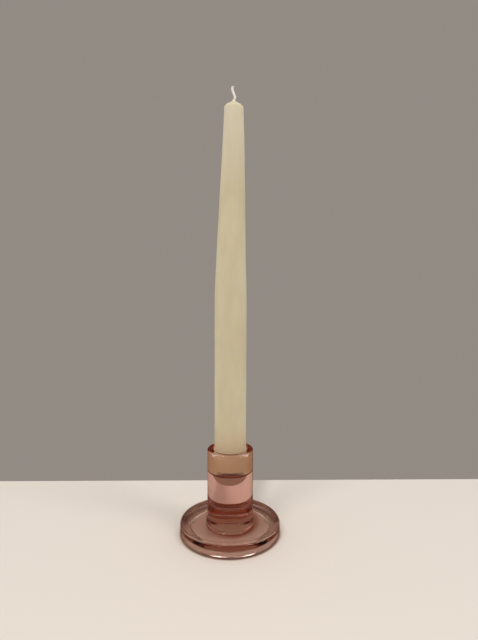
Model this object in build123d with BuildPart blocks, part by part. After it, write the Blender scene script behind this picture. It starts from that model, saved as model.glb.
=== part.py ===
from build123d import *
from math import sqrt
import os

# Pressed-glass candlestick with a tapered dinner candle standing in its socket.
# Millimetres, +Z up, origin at the centre of the face that the foot stands on.
#
# glass_holder  one piece of glass, round about Z: a foot with a raised rim, a shallow dished well
#               and a recessed underside, a thick solid stem on a low swelling, and a blind socket
#               with a domed floor
# candle_wax    the wax body: a chamfered butt, a band pressed out to the socket's wall, a straight
#               shank, a long taper and a tip
# candle_wick   the braided wick, the whole length of the wax, with its free end in a small S
#
# Each profile is a half section in the XZ plane, with X as the radius, turned about Z.

# Foot
foot_radius = 35.0
foot_height = 8.5           # to the flat on top of the rim
foot_base_round = 1.6       # where the side meets the table
foot_top_round = 1.7        # outer edge of the rim
rim_width = 3.2             # top of the rim, edge to edge
rim_inner_round = 2.5
well_depth = 3.0            # from the rim down to the floor of the well
well_wall_run = 8.0         # how far the sloped wall of the well comes in
well_floor_round = 6.0      # where that wall meets the floor
standing_ring_width = 5.0   # from the side of the foot in to the hollow under it
recess_depth = 2.6          # hollow inside the ring that the foot stands on
recess_wall_run = 1.0       # how far the wall of the hollow leans in
recess_corner_round = 0.6
ring_edge_round = 0.4       # inner edge of the ring

# Stem
holder_height = 59.5
stem_radius = 16.0
stem_top_round = 1.3        # outer edge of the mouth
swelling_out = 1.0          # low swelling round the root of the stem, at its widest
swelling_middle = 3.3       # height of its widest part above the well floor
swelling_top = 6.9          # height above the well floor where it dies into the stem
swelling_foot_out = 0.3     # how far it still stands out where it meets the well floor
swelling_round = 3.0
swelling_top_round = 2.0
stem_root_round = 0.5       # fillet where the swelling stands on the well floor

# Socket
socket_radius = 11.5
socket_mouth_round = 1.2    # inner edge of the mouth
socket_wall_depth = 16.5    # straight part of the bore
socket_floor_dish = 2.0     # how much deeper the domed floor is at its middle
socket_corner_round = 1.5

# Candle
candle_length = 254.0       # butt to the top of the wax
candle_radius = 11.0
butt_radius = 10.2          # flat end, inside its chamfer
butt_chamfer_height = 1.6
grip_clearance = 0.1        # between the socket's wall and the wax pressed out to it
grip_top_depth = 2.5        # from the mouth down to the top of the pressed band
grip_step = 1.5             # height over which the band goes back to the shank
taper_start = 125.2         # straight shank, measured from the butt
shoulder_radius = 6.5       # where the taper ends and the tip starts
tip_height = 4.2            # shoulder to the top of the wax
tip_bulge = 0.55            # how far the side of the tip stands out from a straight cone
seat_clearance = 0.05       # butt above the ring of glass that it stands on

# Wick
wick_radius = 0.9
wick_collar = 0.4           # ring of wax left round the wick at the very top
wick_free_length = 9.2      # height of the free end above the wax
wick_rise = 0.10            # share of the free end that rises straight out of the wax
wick_sway = 1.2             # how far the first bend leans out
wick_sway_at = 0.45         # where it leans out furthest, as a share of the free end
wick_end_lean = 0.6         # how far the cut end leans back past the axis
wick_bend_radius = 4.0

os.makedirs("parts", exist_ok=True)

# The domed floor of the socket is part of a sphere, and the edge of the butt stands on that sphere.
recess_radius = foot_radius - standing_ring_width
well_floor_z = foot_height - well_depth
socket_wall_end_z = holder_height - socket_wall_depth
socket_floor_z = socket_wall_end_z - socket_floor_dish
dish_sphere_radius = (socket_radius**2 + socket_floor_dish**2) / (2 * socket_floor_dish)
seat_z = socket_floor_z + dish_sphere_radius - sqrt(dish_sphere_radius**2 - butt_radius**2)


def corner(sketch, x, z):
    """The sketch corner at radius x and height z."""
    return sketch.vertices().sort_by_distance((x, z))[0]


with BuildPart() as glass_holder:
    rim_inner_radius = foot_radius - rim_width
    well_floor_radius = rim_inner_radius - well_wall_run
    with BuildSketch(Plane.XZ) as holder_section:
        with BuildLine():
            outside = Polyline(
                (0, recess_depth),
                (recess_radius - recess_wall_run, recess_depth),
                (recess_radius, 0),
                (foot_radius, 0),
                (foot_radius, foot_height),
                (rim_inner_radius, foot_height),
                (well_floor_radius, well_floor_z),
                (stem_radius + swelling_foot_out, well_floor_z),
                (stem_radius + swelling_out, well_floor_z + swelling_middle),
                (stem_radius, well_floor_z + swelling_top),
                (stem_radius, holder_height),
                (socket_radius, holder_height),
                (socket_radius, socket_wall_end_z),
            )
            floor = RadiusArc(outside @ 1, (0, socket_floor_z), dish_sphere_radius)
            Line(floor @ 1, outside @ 0)
        make_face()
        for x, z, radius in (
            (recess_radius - recess_wall_run, recess_depth, recess_corner_round),
            (recess_radius, 0, ring_edge_round),
            (foot_radius, 0, foot_base_round),
            (foot_radius, foot_height, foot_top_round),
            (rim_inner_radius, foot_height, rim_inner_round),
            (well_floor_radius, well_floor_z, well_floor_round),
            (stem_radius + swelling_foot_out, well_floor_z, stem_root_round),
            (stem_radius + swelling_out, well_floor_z + swelling_middle, swelling_round),
            (stem_radius, well_floor_z + swelling_top, swelling_top_round),
            (stem_radius, holder_height, stem_top_round),
            (socket_radius, holder_height, socket_mouth_round),
            (socket_radius, socket_wall_end_z, socket_corner_round),
        ):
            fillet(corner(holder_section, x, z), radius=radius)
    revolve(axis=Axis.Z)
glass_holder.part.label = "glass_holder"

with BuildPart() as candle_wax:
    butt_z = seat_z + seat_clearance
    wax_top_z = butt_z + candle_length
    shoulder_z = wax_top_z - tip_height
    grip_radius = socket_radius - grip_clearance
    grip_top_z = holder_height - grip_top_depth
    with BuildSketch(Plane.XZ) as wax_section:
        with BuildLine():
            side = Polyline(
                (wick_radius, butt_z),
                (butt_radius, butt_z),
                (grip_radius, butt_z + butt_chamfer_height),
                (grip_radius, grip_top_z),
                (candle_radius, grip_top_z + grip_step),
                (candle_radius, butt_z + taper_start),
                (shoulder_radius, shoulder_z),
            )
            tip = SagittaArc(side @ 1, (wick_radius + wick_collar, wax_top_z), -tip_bulge)
            Polyline(tip @ 1, (wick_radius, wax_top_z), side @ 0)
        make_face()
    revolve(axis=Axis.Z)
candle_wax.part.label = "candle_wax"

with BuildPart() as candle_wick:
    with BuildLine() as wick_path:
        FilletPolyline(
            (0, 0, butt_z),
            (0, 0, wax_top_z + wick_rise * wick_free_length),
            (wick_sway, 0, wax_top_z + wick_sway_at * wick_free_length),
            (-wick_end_lean, 0, wax_top_z + wick_free_length),
            radius=wick_bend_radius,
        )
    with BuildSketch(Plane.XY.offset(butt_z)):
        Circle(wick_radius)
    sweep(path=wick_path.line)
candle_wick.part.label = "candle_wick"

export_step(glass_holder.part, "parts/glass_holder.step")
export_step(candle_wax.part, "parts/candle_wax.step")
export_step(candle_wick.part, "parts/candle_wick.step")
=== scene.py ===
"""Rose-glass candlestick with an ivory dinner candle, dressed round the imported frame.

Metres, +Z up, with the origin at the centre of the ring that the foot stands on. Each piece is
worked out as whole numpy arrays in that frame, and its object stays at the origin.

glass_body   the pressed-glass holder: a foot with a raised rim, a dished well and a hollow
             underside, a solid stem on a low swelling, and a blind socket with a domed floor
wax_body     the candle: a butt pressed into the socket and chipped in front, a straight shank, a
             long taper that bows a little to one side, and an uneven tip
wick_braid   the cotton wick: eight yarns braided over a core, loose at the cut end
"""

import math

import bpy
import numpy as np
from mathutils import Matrix, Vector


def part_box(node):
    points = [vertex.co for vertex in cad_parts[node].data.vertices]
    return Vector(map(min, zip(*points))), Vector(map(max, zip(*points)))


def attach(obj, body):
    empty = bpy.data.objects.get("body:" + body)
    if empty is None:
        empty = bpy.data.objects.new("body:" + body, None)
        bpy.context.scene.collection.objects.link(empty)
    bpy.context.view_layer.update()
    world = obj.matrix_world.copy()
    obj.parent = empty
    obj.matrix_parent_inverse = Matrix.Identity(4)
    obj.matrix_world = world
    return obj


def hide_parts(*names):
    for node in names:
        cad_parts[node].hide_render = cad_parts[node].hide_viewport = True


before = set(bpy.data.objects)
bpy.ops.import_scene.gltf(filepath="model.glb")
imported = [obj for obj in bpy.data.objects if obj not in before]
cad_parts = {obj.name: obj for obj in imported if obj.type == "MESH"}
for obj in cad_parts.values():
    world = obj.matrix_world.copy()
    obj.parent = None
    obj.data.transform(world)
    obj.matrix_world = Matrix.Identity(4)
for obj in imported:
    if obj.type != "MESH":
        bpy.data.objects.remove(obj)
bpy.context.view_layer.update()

# ================================================================ sizes
MM = 0.001
TURN = 2 * math.pi

holder_low, holder_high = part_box("glass_holder")
wax_low, wax_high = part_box("candle_wax")
wick_low, wick_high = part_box("candle_wick")

# Holder. Its box gives the width of the foot and the height.
FOOT_RADIUS = (holder_high[0] - holder_low[0]) / 2
FOOT_HEIGHT = 8.5 * MM
FOOT_BASE_ROUND = 1.6 * MM
FOOT_TOP_ROUND = 1.7 * MM
RIM_WIDTH = 3.2 * MM
RIM_INNER_ROUND = 2.5 * MM
WELL_DEPTH = 3.0 * MM
WELL_WALL_RUN = 8.0 * MM
WELL_FLOOR_ROUND = 6.0 * MM
STANDING_RING_WIDTH = 5.0 * MM
RECESS_DEPTH = 2.6 * MM
RECESS_WALL_RUN = 1.0 * MM
RECESS_CORNER_ROUND = 0.6 * MM
RING_EDGE_ROUND = 0.4 * MM
STEM_RADIUS = 16.0 * MM
STEM_TOP_ROUND = 1.3 * MM
SWELLING_OUT = 1.0 * MM
SWELLING_MIDDLE = 3.3 * MM
SWELLING_TOP = 6.9 * MM
SWELLING_FOOT_OUT = 0.3 * MM
SWELLING_ROUND = 3.0 * MM
SWELLING_TOP_ROUND = 2.0 * MM
STEM_ROOT_ROUND = 0.5 * MM
HOLDER_HEIGHT = holder_high[2]
SOCKET_RADIUS = 11.5 * MM
SOCKET_MOUTH_ROUND = 1.2 * MM
SOCKET_WALL_DEPTH = 16.5 * MM
SOCKET_FLOOR_DISH = 2.0 * MM
FIRE_POLISH = 0.04 * MM      # how far the pressed surfaces wander from true
GLASS_SIDES = 256
GLASS_RUN = 1.5 * MM         # longest step along the outline

# Candle. Its box gives the butt and the top of the wax.
BUTT_Z = wax_low[2]
WAX_TOP_Z = wax_high[2]
CANDLE_RADIUS = 11.0 * MM
BUTT_RADIUS = 10.4 * MM
PRESSED_RADIUS = 11.52 * MM  # wax pressed out to touch the glass all round
PRESSED_FROM = 1.0 * MM      # above the butt
PRESSED_TO_DEPTH = 3.6 * MM  # below the mouth
PRESSED_STEP = 1.6 * MM
TAPER_START = 125.2 * MM
CHIP_HEIGHT = 3.2 * MM       # wax missing from the front of the butt
CHIP_FADE = (1.2 * MM, 9.0 * MM)  # heights above the butt between which the lift dies out
SHOULDER_RADIUS = 6.5 * MM
TIP_HEIGHT = 4.2 * MM
TIP_OUT = 0.16 * MM          # how unevenly the tip stands out
TIP_UP = 0.40 * MM           # how unevenly it lifts
WICK_RADIUS = 0.9 * MM
WICK_ROOM = 0.05 * MM        # round the wick in the pit under the butt
WICK_PIT = 1.0 * MM          # how far that pit goes up
BOW = 1.9 * MM               # how far the top of the candle leans to +X
BOW_START = 160.0 * MM
BOW_END = 300.0 * MM
DIP_RIPPLE = 0.035 * MM      # ripple left by dipping
RIPPLE_FADE = 20.0 * MM      # height above the holder over which the ripple comes in
WAX_SIDES = 144
WAX_RUN = 1.2 * MM           # longest step along the outline

# Wick
YARNS_EACH_WAY = 4
YARN_RADIUS = 0.27 * MM
BRAID_LIFT = 0.10 * MM       # how far a yarn rises over the one that it crosses
BRAID_PITCH = 6.4 * MM
BEND = 0.75 * MM             # swing of the S that the free end makes
BEND_PITCH = 10.6 * MM
LEAN_BACK = 0.04             # how much the free end leans, per length
BRAID_START = -2.5 * MM      # height above the wax at which the braid starts, inside the tip
CORE_RADIUS = 0.52 * MM      # inside the braid
CORE_NARROWS = -2.0 * MM     # height above the wax at which the core thins to that
LOOSE_FIBRES = 16
FIBRE_RADIUS = 0.035 * MM
WICK_STEPS = 150


# ================================================================ curves and surfaces
def smooth_step(x, low, high):
    """0 up to low, 1 from high on, and 3 t squared less 2 t cubed between them."""
    t = np.clip((x - low) / (high - low), 0, 1)
    return t * t * (3 - 2 * t)


def rounded(corners, steps=9):
    """A polyline through corners given as (radius, height, rounding), each corner replaced by a
    circular arc tangent to both sides: the arc's centre lies on the bisector at rounding divided
    by the sine of half the angle between the sides."""
    points = []
    for before, here, after in zip(corners, corners[1:], corners[2:]):
        p, q, r = (np.array(c[:2], float) for c in (before, here, after))
        rounding = here[2]
        if rounding <= 0:
            points.append(q[None])
            continue
        u, v = (p - q) / np.linalg.norm(p - q), (r - q) / np.linalg.norm(r - q)
        half = math.acos(np.clip(u @ v, -1, 1)) / 2
        centre = q + (u + v) / np.linalg.norm(u + v) * rounding / math.sin(half)
        start, end = (q + s * rounding / math.tan(half) - centre for s in (u, v))
        turn = math.pi - 2 * half
        t = np.linspace(0, 1, steps)[:, None]
        points.append(centre + (start * np.sin((1 - t) * turn) + end * np.sin(t * turn)) / math.sin(turn))
    first, last = (np.array([c[:2]], float) for c in (corners[0], corners[-1]))
    return np.concatenate([first, *points, last])


def fine_runs(profile, longest):
    """The same outline with each run divided evenly, into the fewest steps no longer than
    longest: point k of a run in n steps is its start plus k / n of the run."""
    steps = np.maximum(1, np.ceil(np.linalg.norm(np.diff(profile, axis=0), axis=1) / longest)).astype(int)
    run = np.repeat(np.arange(len(steps)), steps)
    share = (np.arange(steps.sum()) - np.repeat(np.cumsum(steps) - steps, steps)) / steps[run]
    return np.concatenate([profile[run] + (profile[run + 1] - profile[run]) * share[:, None], profile[-1:]])


def put_piece(name, points, faces, uv=None):
    """A smooth-shaded mesh object at the origin, from an array of points and a list of faces."""
    mesh = bpy.data.meshes.new(name)
    mesh.from_pydata(points.tolist(), [], faces)
    mesh.polygons.foreach_set("use_smooth", np.ones(len(mesh.polygons), bool))
    if uv is not None:
        mesh.uv_layers.new(name="along_and_round").data.foreach_set("uv", uv.ravel())
    mesh.update()
    piece = bpy.data.objects.new(name, mesh)
    bpy.context.scene.collection.objects.link(piece)
    return piece


def turned(name, profile, sides, shaped):
    """A closed mesh turned about Z. The profile's points (r, z) at the angle a go through
    shaped(r, z, a), which gives x, y and z, and each end of the profile closes in one point."""
    angle = np.linspace(0, TURN, sides, endpoint=False)[:, None]
    r, z = (np.broadcast_to(k, (sides, len(profile) - 2)) for k in profile[1:-1].T)
    grid = np.stack(shaped(r, z, angle), axis=-1)
    poles = np.stack(shaped(profile[[0, -1], 0], profile[[0, -1], 1], 0.0), axis=-1)
    n, count = r.shape[1], r.size
    i, j = np.meshgrid(np.arange(sides), np.arange(n - 1), indexing="ij")
    k = (i + 1) % sides
    quads = np.stack([i * n + j, k * n + j, k * n + j + 1, i * n + j + 1], axis=-1).reshape(-1, 4)
    ring = np.arange(sides)
    after = (ring + 1) % sides
    start = np.stack([np.full(sides, count), after * n, ring * n], axis=-1)
    end = np.stack([np.full(sides, count + 1), ring * n + n - 1, after * n + n - 1], axis=-1)
    return put_piece(
        name,
        np.concatenate([grid.reshape(-1, 3), poles]),
        quads.tolist() + start.tolist() + end.tolist(),
    )


def unit(vectors):
    """Each vector divided by its length."""
    return vectors / np.linalg.norm(vectors, axis=-1, keepdims=True)


def yarns(name, paths, outwards, radii, sides=10):
    """Closed tubes along paths (tube, step, 3). Round each path point lies a ring: the point plus
    its radius times cos b along the outward direction and sin b across it, both square to the
    path. The UV map holds the length along the path and the share of a turn round it."""
    along = unit(np.gradient(paths, axis=1))
    out = unit(outwards - along * (outwards * along).sum(-1, keepdims=True))
    across = np.cross(along, out)
    b = np.linspace(0, TURN, sides, endpoint=False)
    ring = np.cos(b)[:, None] * out[:, :, None] + np.sin(b)[:, None] * across[:, :, None]
    grid = paths[:, :, None] + radii[:, :, None, None] * ring
    tubes, steps = paths.shape[:2]
    points = np.concatenate([grid.reshape(-1, 3), paths[:, 0], paths[:, -1]])
    t, i, j = np.meshgrid(np.arange(tubes), np.arange(steps - 1), np.arange(sides), indexing="ij")
    base = (t * steps + i) * sides
    k = (j + 1) % sides
    quads = np.stack([base + j, base + k, base + sides + k, base + sides + j], axis=-1).reshape(-1, 4)
    t, j = np.meshgrid(np.arange(tubes), np.arange(sides), indexing="ij")
    k = (j + 1) % sides
    first, last = t * steps * sides, ((t + 1) * steps - 1) * sides
    count = tubes * steps * sides
    starts = np.stack([count + t, first + k, first + j], axis=-1).reshape(-1, 3)
    ends = np.stack([count + tubes + t, last + j, last + k], axis=-1).reshape(-1, 3)
    length = np.zeros(paths.shape[:2])
    length[:, 1:] = np.cumsum(np.linalg.norm(np.diff(paths, axis=1), axis=-1), axis=1)
    u0, u1 = (np.repeat(x.reshape(-1), sides) for x in (length[:, :-1], length[:, 1:]))
    v0 = np.tile(np.arange(sides) / sides, tubes * (steps - 1))
    v1 = v0 + 1 / sides
    quad_uv = np.stack([u0, v0, u0, v1, u1, v1, u1, v0], axis=-1)
    cap_v = np.tile(np.arange(sides) / sides, tubes)
    zero, full = np.zeros(tubes * sides), np.repeat(length[:, -1], sides)
    start_uv = np.stack([zero, cap_v, zero, cap_v + 1 / sides, zero, cap_v], axis=-1)
    end_uv = np.stack([full, cap_v, full, cap_v, full, cap_v + 1 / sides], axis=-1)
    uv = np.concatenate([quad_uv.ravel(), start_uv.ravel(), end_uv.ravel()])
    return put_piece(name, points, quads.tolist() + starts.tolist() + ends.tolist(), uv)


# ================================================================ the pieces
def holder_outline():
    """Half section of the holder from the middle of the underside, out round the foot, up the
    stem and down into the socket, whose floor is an arc of a sphere: radius R sin t and height
    R less R cos t above its lowest point."""
    rim_inner = FOOT_RADIUS - RIM_WIDTH
    well_radius = rim_inner - WELL_WALL_RUN
    well_floor = FOOT_HEIGHT - WELL_DEPTH
    recess_radius = FOOT_RADIUS - STANDING_RING_WIDTH
    wall_end = HOLDER_HEIGHT - SOCKET_WALL_DEPTH
    sphere = (SOCKET_RADIUS**2 + SOCKET_FLOOR_DISH**2) / (2 * SOCKET_FLOOR_DISH)
    outside = rounded(
        [
            (0, RECESS_DEPTH, 0),
            (recess_radius - RECESS_WALL_RUN, RECESS_DEPTH, RECESS_CORNER_ROUND),
            (recess_radius, 0, RING_EDGE_ROUND),
            (FOOT_RADIUS, 0, FOOT_BASE_ROUND),
            (FOOT_RADIUS, FOOT_HEIGHT, FOOT_TOP_ROUND),
            (rim_inner, FOOT_HEIGHT, RIM_INNER_ROUND),
            (well_radius, well_floor, WELL_FLOOR_ROUND),
            (STEM_RADIUS + SWELLING_FOOT_OUT, well_floor, STEM_ROOT_ROUND),
            (STEM_RADIUS + SWELLING_OUT, well_floor + SWELLING_MIDDLE, SWELLING_ROUND),
            (STEM_RADIUS, well_floor + SWELLING_TOP, SWELLING_TOP_ROUND),
            (STEM_RADIUS, HOLDER_HEIGHT, STEM_TOP_ROUND),
            (SOCKET_RADIUS, HOLDER_HEIGHT, SOCKET_MOUTH_ROUND),
            (SOCKET_RADIUS, wall_end, 0),
        ]
    )
    t = np.linspace(math.asin(SOCKET_RADIUS / sphere), 0, 24)[1:]
    dish = np.stack([sphere * np.sin(t), wall_end - SOCKET_FLOOR_DISH + sphere - sphere * np.cos(t)], axis=-1)
    return fine_runs(np.concatenate([outside, dish]), GLASS_RUN)


def pressed_glass(r, z, a):
    """x, y, z of the holder. Sines of two, three and five waves round the axis, turning slowly
    with the height, move the surface out and up by up to the fire polish. The move dies out
    towards the ring that it stands on and within 2.6 mm of the socket's wall."""
    held = smooth_step(z, 0.4 * MM, 1.8 * MM)
    held = held * smooth_step(r, SOCKET_RADIUS + 0.6 * MM, SOCKET_RADIUS + 2.6 * MM)
    out = 0.5 * np.sin(2 * a + 0.7 + z / (9 * MM)) + 0.5 * np.sin(3 * a - 1.1 - z / (13 * MM))
    up = 0.6 * np.sin(2 * a + 2.2 + r / (6 * MM)) + 0.4 * np.sin(5 * a + 0.4 - r / (11 * MM))
    r = r + FIRE_POLISH * held * out
    return r * np.cos(a), r * np.sin(a), z + FIRE_POLISH * held * up


def candle_centre(z):
    """How far the candle's middle has leant to +X at the height z: a smooth step."""
    return BOW * smooth_step(z, BOW_START, BOW_END)


def candle_outline():
    """Half section of the candle: a pit for the wick in the butt, a chamfer, the pressed band,
    the shank, the taper, and a tip that runs up the wick in a small hollow cone."""
    band_top = HOLDER_HEIGHT - PRESSED_TO_DEPTH
    shoulder = WAX_TOP_Z - TIP_HEIGHT
    bore = WICK_RADIUS + WICK_ROOM
    outline = rounded(
        [
            (0, BUTT_Z + WICK_PIT, 0),
            (bore, BUTT_Z + WICK_PIT, 0),
            (bore, BUTT_Z, 0),
            (BUTT_RADIUS, BUTT_Z, 0.5 * MM),
            (PRESSED_RADIUS, BUTT_Z + PRESSED_FROM, 0.7 * MM),
            (PRESSED_RADIUS, band_top, 0.8 * MM),
            (CANDLE_RADIUS, band_top + PRESSED_STEP, 2.0 * MM),
            (CANDLE_RADIUS, BUTT_Z + TAPER_START, 600 * MM),
            (SHOULDER_RADIUS, shoulder, 1.0 * MM),
            (4.7 * MM, shoulder + 1.9 * MM, 1.5 * MM),
            (1.3 * MM, WAX_TOP_Z - 0.4 * MM, 0.9 * MM),
            (0.95 * MM, WAX_TOP_Z + 0.7 * MM, 0.15 * MM),
            (0, WAX_TOP_Z + 0.8 * MM, 0),
        ],
        steps=7,
    )
    return fine_runs(outline, WAX_RUN)


def dipped_wax(r, z, a):
    """x, y, z of the candle. Slow waves along and round it stand for the ripple of dipping, and
    two and three waves round the tip lift its shoulder unevenly. Both die out at the socket. In
    front the edge of the butt is lifted where a piece has chipped away."""
    free = smooth_step(z, HOLDER_HEIGHT, HOLDER_HEIGHT + RIPPLE_FADE)
    tip = smooth_step(z, WAX_TOP_Z - TIP_HEIGHT - 3 * MM, WAX_TOP_Z - TIP_HEIGHT + 1.5 * MM)
    ripple = np.sin(z / (5.2 * MM) + 1.4 * np.sin(a)) * 0.4 + np.sin(2 * a + z / (17 * MM)) * 0.6
    crown = np.sin(2 * a + 0.9) * 0.5 + np.sin(3 * a - 0.6) * 0.35 + np.sin(5 * a + 2.0) * 0.15
    spread = np.minimum(r / (5 * MM), 1)
    r = r + (DIP_RIPPLE * free * ripple + TIP_OUT * tip * crown) * spread
    z = z + TIP_UP * tip * crown * spread
    chip = smooth_step(-np.sin(a), 0.5, 0.75) * np.minimum(r / (9 * MM), 1) ** 2
    z = z + CHIP_HEIGHT * chip * (1 - smooth_step(z, BUTT_Z + CHIP_FADE[0], BUTT_Z + CHIP_FADE[1]))
    return candle_centre(z) + r * np.cos(a), r * np.sin(a), z


def wick_centre(h):
    """Middle of the wick at the height h above the wax: a sine that leans back a little to the
    side, half as much to the rear, and inside the wax the candle's own middle."""
    free = np.maximum(h, 0)
    x = BEND * np.sin(TURN * free / BEND_PITCH) - LEAN_BACK * free
    y = 0.4 * BEND * (1 - np.cos(TURN * free / BEND_PITCH))
    return np.stack([candle_centre(WAX_TOP_Z + h) + x, y, WAX_TOP_Z + h], axis=-1)


def braided_wick(name):
    """Yarns wound both ways round the wick's middle. A yarn's angle grows by a turn each pitch,
    and its distance from the middle swings once for every yarn that it crosses, so that it goes
    over one and under the next. At the cut end the yarns part, and fine fibres stand off it."""
    free = wick_high[2] - WAX_TOP_Z
    rng = np.random.default_rng(7)
    h = np.linspace(BRAID_START, free, WICK_STEPS)
    way = np.repeat([1.0, -1.0], YARNS_EACH_WAY)[:, None]
    start = np.tile(np.arange(YARNS_EACH_WAY) * TURN / YARNS_EACH_WAY, 2)[:, None]
    end = rng.uniform(0.94, 1.0, (2 * YARNS_EACH_WAY, 1))
    hs = h[0] + (h - h[0])[None] * end
    turned_by = TURN * hs / BRAID_PITCH
    angle = way * turned_by + start
    parting = smooth_step(hs, free - 1.3 * MM, free) * rng.uniform(0.05, 0.45, (2 * YARNS_EACH_WAY, 1)) * MM
    crossing = way * BRAID_LIFT * np.cos(YARNS_EACH_WAY * turned_by)
    ring = WICK_RADIUS - YARN_RADIUS - BRAID_LIFT + crossing + parting
    side = np.stack([np.cos(angle), np.sin(angle), np.zeros_like(angle)], axis=-1)
    thick = YARN_RADIUS * (1 - 0.45 * smooth_step(hs, free - 0.5 * MM, free))
    braid = (wick_centre(hs) + ring[..., None] * side, side, thick)

    k = np.linspace(0, 1, WICK_STEPS)[None]
    begin = free - rng.uniform(0.3, 2.2, (LOOSE_FIBRES, 1)) * MM
    reach = rng.uniform(0.5, 1.5, (LOOSE_FIBRES, 1)) * MM
    swing = rng.uniform(0, TURN, (LOOSE_FIBRES, 1)) + k * rng.uniform(-0.8, 0.8, (LOOSE_FIBRES, 1))
    way_out = np.stack([np.cos(swing), np.sin(swing), np.zeros_like(swing)], axis=-1)
    height = np.minimum(begin + reach * k, free + 0.3 * MM)
    off = 0.45 * MM + reach * rng.uniform(0.35, 0.8, (LOOSE_FIBRES, 1)) * k**1.7
    thin = np.broadcast_to(FIBRE_RADIUS * (1.2 - k), off.shape)
    loose = (wick_centre(height) + off[..., None] * way_out, np.roll(way_out, 1, -1), thin)

    core_h = np.linspace(BUTT_Z + 0.02 * MM - WAX_TOP_Z, free - 0.8 * MM, WICK_STEPS)[None]
    core = (
        wick_centre(core_h),
        np.broadcast_to([0.0, 1.0, 0.0], (1, WICK_STEPS, 3)),
        np.where(core_h < CORE_NARROWS, WICK_RADIUS - 0.02 * MM, CORE_RADIUS),
    )
    paths, outwards, radii = (np.concatenate(parts) for parts in zip(braid, loose, core))
    return yarns(name, paths, outwards, radii)


# ================================================================ finishes
class Wire:
    """An output socket. Sums, differences, products and quotients of wires and plain numbers put
    in the Math nodes that work them out."""

    def __init__(self, finish, socket):
        self.finish, self.socket = finish, socket

    def maths(self, operation, *others):
        values = dict(enumerate((self, *others)))
        return self.finish.node("Math", {"operation": operation}, values)

    def flipped(self, operation, other):
        return self.finish.node("Math", {"operation": operation}, {0: other, 1: self})

    def __add__(self, other):
        return self.maths("ADD", other)

    def __sub__(self, other):
        return self.maths("SUBTRACT", other)

    def __mul__(self, other):
        return self.maths("MULTIPLY", other)

    def __truediv__(self, other):
        return self.maths("DIVIDE", other)

    def __rsub__(self, other):
        return self.flipped("SUBTRACT", other)

    def __rtruediv__(self, other):
        return self.flipped("DIVIDE", other)

    __radd__, __rmul__ = __add__, __mul__


class Finish:
    """The nodes of one material or of the room's light."""

    def __init__(self, owner):
        owner.use_nodes = True
        self.tree = owner.node_tree
        self.tree.nodes.clear()

    def node(self, kind, settings=None, values=None, output=0):
        """Adds a node of a kind, with its own settings first and then the values or wires of its
        sockets, and gives the wire of one output."""
        made = self.tree.nodes.new("ShaderNode" + kind)
        for key, value in (settings or {}).items():
            setattr(made, key, value)
        for key, value in (values or {}).items():
            if isinstance(value, Wire):
                self.tree.links.new(value.socket, made.inputs[key])
            elif isinstance(value, tuple) and len(value) == 3 and len(made.inputs[key].default_value) == 4:
                made.inputs[key].default_value = (*value, 1)
            else:
                made.inputs[key].default_value = value
        return Wire(self, made.outputs[output]) if made.outputs else None

    def smooth(self, value, low, high):
        """0 below low, 1 above high, and a smooth step between."""
        return self.node("MapRange", {"interpolation_type": "SMOOTHSTEP"}, {0: value, 1: low, 2: high})

    def blend(self, factor, first, second):
        """One colour turning into another."""
        return self.node("Mix", {"data_type": "RGBA"}, {0: factor, 6: first, 7: second}, output=2)

    def noise(self, place, scale, detail):
        values = {"Vector": place, "Scale": scale, "Detail": detail, "Roughness": 0.5}
        return self.node("TexNoise", None, values)

    def stretched(self, place, scale):
        """Object coordinates squeezed or stretched along each axis."""
        return self.node("Mapping", None, {"Vector": place, "Scale": scale})

    def bump(self, height, distance):
        return self.node("Bump", None, {"Height": height, "Distance": distance, "Strength": 1.0})


# Light fades through d metres of the glass by exp(-d x density x (1 - tint)).
GLASS_TINT = (0.749, 0.32, 0.20)
GLASS_DENSITY = 40.0

WAX_DEEP, WAX_CLEAR = (0.585, 0.525, 0.37), (0.635, 0.58, 0.42)
BLOOM_COLOUR = (0.68, 0.64, 0.51)
PALE_WAX, PALE_AMOUNT = (0.69, 0.65, 0.54), 0.6
PALE_LENGTH = 70.0 * MM      # down from the top of the wax
# Painted shade: deeper, warmer wax near the mouth, where the glass shades it and tints its light
MOUTH_SHADE, MOUTH_SHADE_AMOUNT = (0.56, 0.42, 0.275), 0.7
MOUTH_SHADE_ABOVE, MOUTH_SHADE_BELOW = 22.0 * MM, 4.0 * MM  # reach of the painted shade on the wax from the mouth


def rose_glass():
    """Clear glass that owes its colour to its thickness. The faces are fire polished, with a
    faint orange-peel, a breath of haze in patches all over, and the ring that it stands on
    is scuffed."""
    material = bpy.data.materials.new("rose_glass")
    finish = Finish(material)
    place = finish.node("TexCoord", output="Object")
    height = finish.node("SeparateXYZ", None, {0: place}, output=2)
    scuffed = 1 - finish.smooth(height, 0.0, 0.35 * MM)
    haze = finish.smooth(finish.noise(place, 55.0, 4.0), 0.45, 0.8)
    scratches = finish.noise(finish.stretched(place, (900.0, 900.0, 200.0)), 3.0, 3.0)
    peel = finish.noise(place, 260.0, 1.0) + finish.noise(place, 90.0, 1.0) * 2.0
    surface = finish.node(
        "BsdfPrincipled",
        None,
        {
            "Base Color": (1.0, 1.0, 1.0),
            "Roughness": 0.004 + haze * 0.012 + scuffed * (0.25 + scratches * 0.2),
            "IOR": 1.5,
            "Transmission Weight": 1.0,
            "Normal": finish.bump(peel + scuffed * scratches * 3.0, 0.002 * MM),
        },
    )
    body = finish.node("VolumeAbsorption", None, {"Color": GLASS_TINT, "Density": GLASS_DENSITY})
    finish.node("OutputMaterial", None, {"Surface": surface, "Volume": body})
    return material


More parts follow.
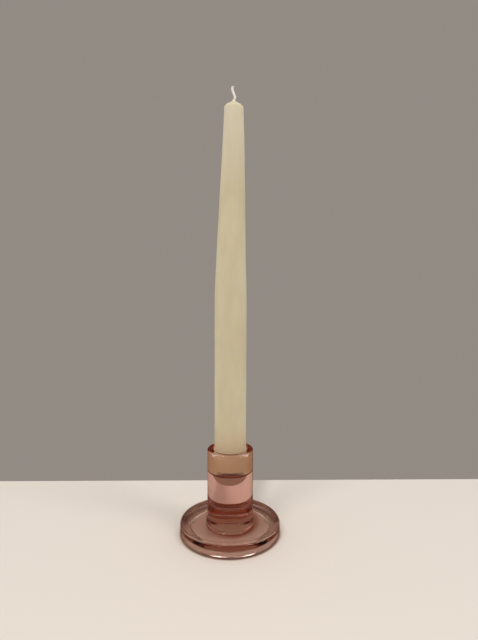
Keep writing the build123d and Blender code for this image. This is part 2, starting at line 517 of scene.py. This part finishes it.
def ivory_wax():
    """Ivory stearin: light sinks in and comes back soft. Clouds of slightly deeper and paler wax,
    a bloom that takes the shine off in streaks along the candle, and the faint runs of dipping.
    The wax is paler towards the tip. Near the mouth, where it goes into the glass, it carries a painted
    shade, deeper and warmer, where the glass shades it."""
    material = bpy.data.materials.new("ivory_wax")
    finish = Finish(material)
    place = finish.node("TexCoord", output="Object")
    height = finish.node("SeparateXYZ", None, {0: place}, output=2)
    pale = finish.smooth(height, WAX_TOP_Z - PALE_LENGTH, WAX_TOP_Z)
    # painted shade near the mouth, where the glass shades the wax
    above, below = HOLDER_HEIGHT + MOUTH_SHADE_ABOVE, HOLDER_HEIGHT - MOUTH_SHADE_BELOW
    mouth_shade = (1 - finish.smooth(height, HOLDER_HEIGHT, above)) * finish.smooth(height, below, HOLDER_HEIGHT)
    clouds = finish.noise(finish.stretched(place, (1.0, 1.0, 0.35)), 90.0, 3.0)
    bloom = finish.noise(finish.stretched(place, (1.0, 1.0, 0.12)), 320.0, 3.0)
    runs = finish.noise(finish.stretched(place, (1.0, 1.0, 0.05)), 420.0, 2.0)
    grain = finish.noise(place, 2600.0, 2.0)
    ivory = finish.blend(finish.smooth(clouds, 0.3, 0.7), WAX_DEEP, WAX_CLEAR)
    ivory = finish.blend(finish.smooth(bloom, 0.55, 0.8) * 0.25, ivory, BLOOM_COLOUR)
    ivory = finish.blend(pale * PALE_AMOUNT, ivory, PALE_WAX)
    # painted shade and warm tint on the wax near the mouth
    ivory = finish.blend(mouth_shade * MOUTH_SHADE_AMOUNT, ivory, MOUTH_SHADE)
    surface = finish.node(
        "BsdfPrincipled",
        None,
        {
            "Base Color": ivory,
            "Roughness": 0.36 + bloom * 0.16,
            "IOR": 1.44,
            "Subsurface Weight": 1.0,
            "Subsurface Radius": (1.0, 0.8, 0.5),
            "Subsurface Scale": 3.0 * MM,
            "Normal": finish.bump(runs + grain * 0.25, 0.03 * MM),
        },
    )
    finish.node("OutputMaterial", None, {"Surface": surface})
    return material


def cotton_wick():
    """Bleached cotton, primed with a little wax. The fibres of each yarn run on a slant round it,
    and the wick is a shade more ivory where it leaves the wax."""
    material = bpy.data.materials.new("cotton_wick")
    finish = Finish(material)
    place = finish.node("TexCoord", output="Object")
    height = finish.node("SeparateXYZ", None, {0: place}, output=2)
    weave = finish.node("UVMap", {"uv_map": "along_and_round"})
    length = finish.node("SeparateXYZ", None, {0: weave}, output=0)
    share = finish.node("SeparateXYZ", None, {0: weave}, output=1)
    fibres = (length * (TURN * 2 / MM) + share * (TURN * 5)).maths("SINE") * 0.5 + 0.5
    fluff = finish.noise(place, 5200.0, 2.0)
    cotton = finish.blend(fibres * 0.35 + fluff * 0.3, (0.93, 0.90, 0.87), (0.80, 0.76, 0.72))
    waxed = 1 - finish.smooth(height, WAX_TOP_Z + 0.2 * MM, WAX_TOP_Z + 3.5 * MM)
    cotton = finish.blend(waxed * 0.6, cotton, (0.70, 0.60, 0.44))
    surface = finish.node(
        "BsdfPrincipled",
        None,
        {
            "Base Color": cotton,
            "Roughness": 0.9 - waxed * 0.35,
            "Sheen Weight": 0.3,
            "Normal": finish.bump(fibres + fluff, 0.03 * MM),
        },
    )
    finish.node("OutputMaterial", None, {"Surface": surface})
    return material


# ================================================================ putting the pieces together
def dress(piece, material, body, node):
    piece.data.materials.append(material)
    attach(piece, body)
    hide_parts(node)


glass_body = turned("glass_body", holder_outline(), GLASS_SIDES, pressed_glass)
dress(glass_body, rose_glass(), "holder", "glass_holder")
wax_body = turned("wax_body", candle_outline(), WAX_SIDES, dipped_wax)
dress(wax_body, ivory_wax(), "candle", "candle_wax")
dress(braided_wick("wick_braid"), cotton_wick(), "candle", "candle_wick")

# ================================================================ the room
# Board
TABLE_COLOUR = (0.78, 0.725, 0.675)
TABLE_REACH = 3.0                      # to each side and to the front
TABLE_BACK = 0.085
TABLE_THICK = 0.03
TABLE_TOP = -0.3 * MM                  # a hair under the foot
MIRRORED_TABLE_SHADE = (0.12, 0.05, 0.03)    # painted shade: the board as the glass's mirrored rays see it, painted darker

# Ellipse of shade under and behind the stem
SHADE = (0.48, 0.22, 0.12)
SHADE_MIDDLE = (2.0 * MM, 11.0 * MM)
SHADE_REACH = (21.0 * MM, 26.0 * MM)
SHADE_CORE = 0.75                      # share of its reach that is in full shade

# Ring of shade where the foot stands
CONTACT = (0.16, 0.055, 0.025)
CONTACT_AMOUNT = 0.85
CONTACT_FROM = 32.3 * MM
CONTACT_FADE_IN = 1.0 * MM
CONTACT_FADE_OUT = (0.5 * MM, 1.5 * MM)  # inside and outside the side of the foot

# Streak of shade that runs from the candle to the back
STREAK = (0.53, 0.485, 0.45)
STREAK_SLANT = 0.24
STREAK_HALF = (4.0 * MM, 22.0 * MM)    # half its width, in full shade and out of it
STREAK_START = (25.0 * MM, 40.0 * MM)  # behind the axis, where it fades in

# What lies round the table
WALL_COLOUR = (0.29, 0.26, 0.233)      # to the eye
BEHIND_COLOUR = (0.31, 0.25, 0.18)     # the next three to refracted rays
FRONT_COLOUR = (0.11, 0.035, 0.015)
CEILING_COLOUR = (0.25, 0.17, 0.13)
CEILING_LOW, CEILING_HIGH = 0.72, 0.95  # how steeply a ray climbs where the ceiling starts
MIRRORED_COLOUR = (0.05, 0.02, 0.012)  # to mirrored rays, whichever way they go
LIGHT_COLOUR = (0.75, 0.7275, 0.6975)  # on surfaces in the open
UNDER_SIDE = (1.42, 0.80, 0.57)        # through the glass, from the sides
UNDER_TOP = (0.10, 0.05, 0.03)         # through the glass, from above
UNDER_LOW, UNDER_HIGH = 0.6, 0.85      # how steeply a ray climbs between those two

LAMP_COLOUR = (1.0, 0.95, 0.88)
LAMP_AIM = (0, 0, 0.1)


def tabletop():
    """A pale painted board, its top a hair under the foot. It lies in shade in an ellipse under
    and behind the stem and in a ring where the foot stands, and a soft streak of shade runs from
    the candle to the back. All three are painted on. Rays mirrored in the glass see it in a painted shade,
    darker."""
    wide, deep = (-TABLE_REACH, TABLE_REACH), (-TABLE_REACH, TABLE_BACK)
    thick = (TABLE_TOP - TABLE_THICK, TABLE_TOP)
    corners = np.array([(x, y, z) for z in thick for y in deep for x in wide])
    faces = [(4, 5, 7, 6), (0, 2, 3, 1), (0, 1, 5, 4), (2, 6, 7, 3), (0, 4, 6, 2), (1, 3, 7, 5)]
    board = put_piece("table", corners, faces)
    board.data.polygons.foreach_set("use_smooth", np.zeros(len(faces), bool))
    material = bpy.data.materials.new("painted_board")
    finish = Finish(material)
    place = finish.node("TexCoord", output="Object")
    x, y = (finish.node("SeparateXYZ", None, {0: place}, output=k) for k in (0, 1))
    from_axis = (x * x + y * y).maths("SQRT")
    ring = finish.smooth(from_axis, CONTACT_FROM, CONTACT_FROM + CONTACT_FADE_IN)
    inside, outside = CONTACT_FADE_OUT
    ring = ring * (1 - finish.smooth(from_axis, FOOT_RADIUS - inside, FOOT_RADIUS + outside))
    streak = 1 - finish.smooth((x - y * STREAK_SLANT).maths("ABSOLUTE"), *STREAK_HALF)
    streak = streak * finish.smooth(y, *STREAK_START)
    u, v = ((k - middle) / reach for k, middle, reach in zip((x, y), SHADE_MIDDLE, SHADE_REACH))
    lit = finish.smooth((u * u + v * v).maths("SQRT"), SHADE_CORE, 1.0)
    painted = finish.blend(streak, TABLE_COLOUR, STREAK)
    painted = finish.blend(lit, SHADE, painted)
    painted = finish.blend(ring * CONTACT_AMOUNT, painted, CONTACT)
    # painted shade in the reflections: rays mirrored in the glass see the board darker
    mirrored = finish.node("LightPath", output="Is Glossy Ray")
    refracted = finish.node("LightPath", output="Is Transmission Ray")
    painted = finish.blend(mirrored * (1 - refracted), painted, MIRRORED_TABLE_SHADE)
    surface = finish.node("BsdfPrincipled", None, {"Base Color": painted, "Roughness": 0.6})
    finish.node("OutputMaterial", None, {"Surface": surface})
    board.data.materials.append(material)


def room():
    """An even soft light for surfaces in the open. The eye sees a plain wall. Refracted rays see a
    room: warm behind, dark in front, and a dim ceiling. Mirrored rays see one dark colour. The
    light that reaches the table or the wax through the glass is warm and stronger from the sides,
    and hardly comes from straight above."""
    world = bpy.data.worlds.new("studio")
    bpy.context.scene.world = world
    finish = Finish(world)
    way = finish.node("TexCoord", output="Generated")
    back = finish.node("SeparateXYZ", None, {0: way}, output=1)
    up = finish.node("SeparateXYZ", None, {0: way}, output=2)
    seen_by_eye = finish.node("LightPath", output="Is Camera Ray")
    mirrored = finish.node("LightPath", output="Is Glossy Ray")
    refracted = finish.node("LightPath", output="Is Transmission Ray")
    scattered = finish.node("LightPath", output="Diffuse Depth").maths("GREATER_THAN", 0.5)
    seen = finish.blend(finish.smooth(back, -0.15, 0.1), FRONT_COLOUR, BEHIND_COLOUR)
    seen = finish.blend(finish.smooth(up, CEILING_LOW, CEILING_HIGH), seen, CEILING_COLOUR)
    seen = finish.blend(mirrored * (1 - refracted), seen, MIRRORED_COLOUR)
    seen = finish.blend(seen_by_eye, seen, WALL_COLOUR)
    under = finish.blend(finish.smooth(up, UNDER_LOW, UNDER_HIGH), UNDER_SIDE, UNDER_TOP)
    light = finish.blend(refracted * scattered, LIGHT_COLOUR, under)
    straight = seen_by_eye.maths("MAXIMUM", mirrored).maths("MAXIMUM", refracted) * (1 - scattered)
    colour = finish.blend(straight, light, seen)
    background = finish.node("Background", None, {"Color": colour, "Strength": 1.0})
    finish.node("OutputWorld", None, {"Surface": background})


def window_light(name, place, size, watts):
    """A square lamp that faces the candlestick."""
    data = bpy.data.lights.new(name, "AREA")
    data.shape, data.size, data.energy, data.color = "SQUARE", size, watts, LAMP_COLOUR
    lamp = bpy.data.objects.new(name, data)
    bpy.context.scene.collection.objects.link(lamp)
    turn = (Vector(LAMP_AIM) - Vector(place)).to_track_quat("-Z", "Y")
    lamp.matrix_world = Matrix.Translation(place) @ turn.to_matrix().to_4x4()


tabletop()
room()
window_light("ceiling_left", (-0.7, -0.9, 1.6), 0.5, 9.0)
window_light("ceiling_right", (0.9, -0.5, 1.6), 0.4, 6.0)

# ================================================================ the camera
CAMERA_DISTANCE = 0.306
CAMERA_HEIGHT = 0.168
CAMERA_DOWN = math.radians(3.45)
CAMERA_RIGHT = 0.019
CAMERA_ROLL = 0.0036
CAMERA_LENS, CAMERA_SENSOR = 24.98, 36  # millimetres

scene = bpy.context.scene
camera = bpy.data.objects.new("camera", bpy.data.cameras.new("camera"))
scene.collection.objects.link(camera)
camera.data.lens, camera.data.sensor_width = CAMERA_LENS, CAMERA_SENSOR
camera.matrix_world = (
    Matrix.Translation((0, -CAMERA_DISTANCE, CAMERA_HEIGHT))
    @ Matrix.Rotation(-CAMERA_RIGHT, 4, "Z")
    @ Matrix.Rotation(math.pi / 2 - CAMERA_DOWN, 4, "X")
    @ Matrix.Rotation(CAMERA_ROLL, 4, "Z")
)
scene.camera = camera
scene.view_settings.view_transform = "Standard"
scene.cycles.max_bounces = 24
scene.cycles.transmission_bounces = 20
scene.cycles.glossy_bounces = 8
scene.cycles.diffuse_bounces = 4
scene.cycles.volume_bounces = 2
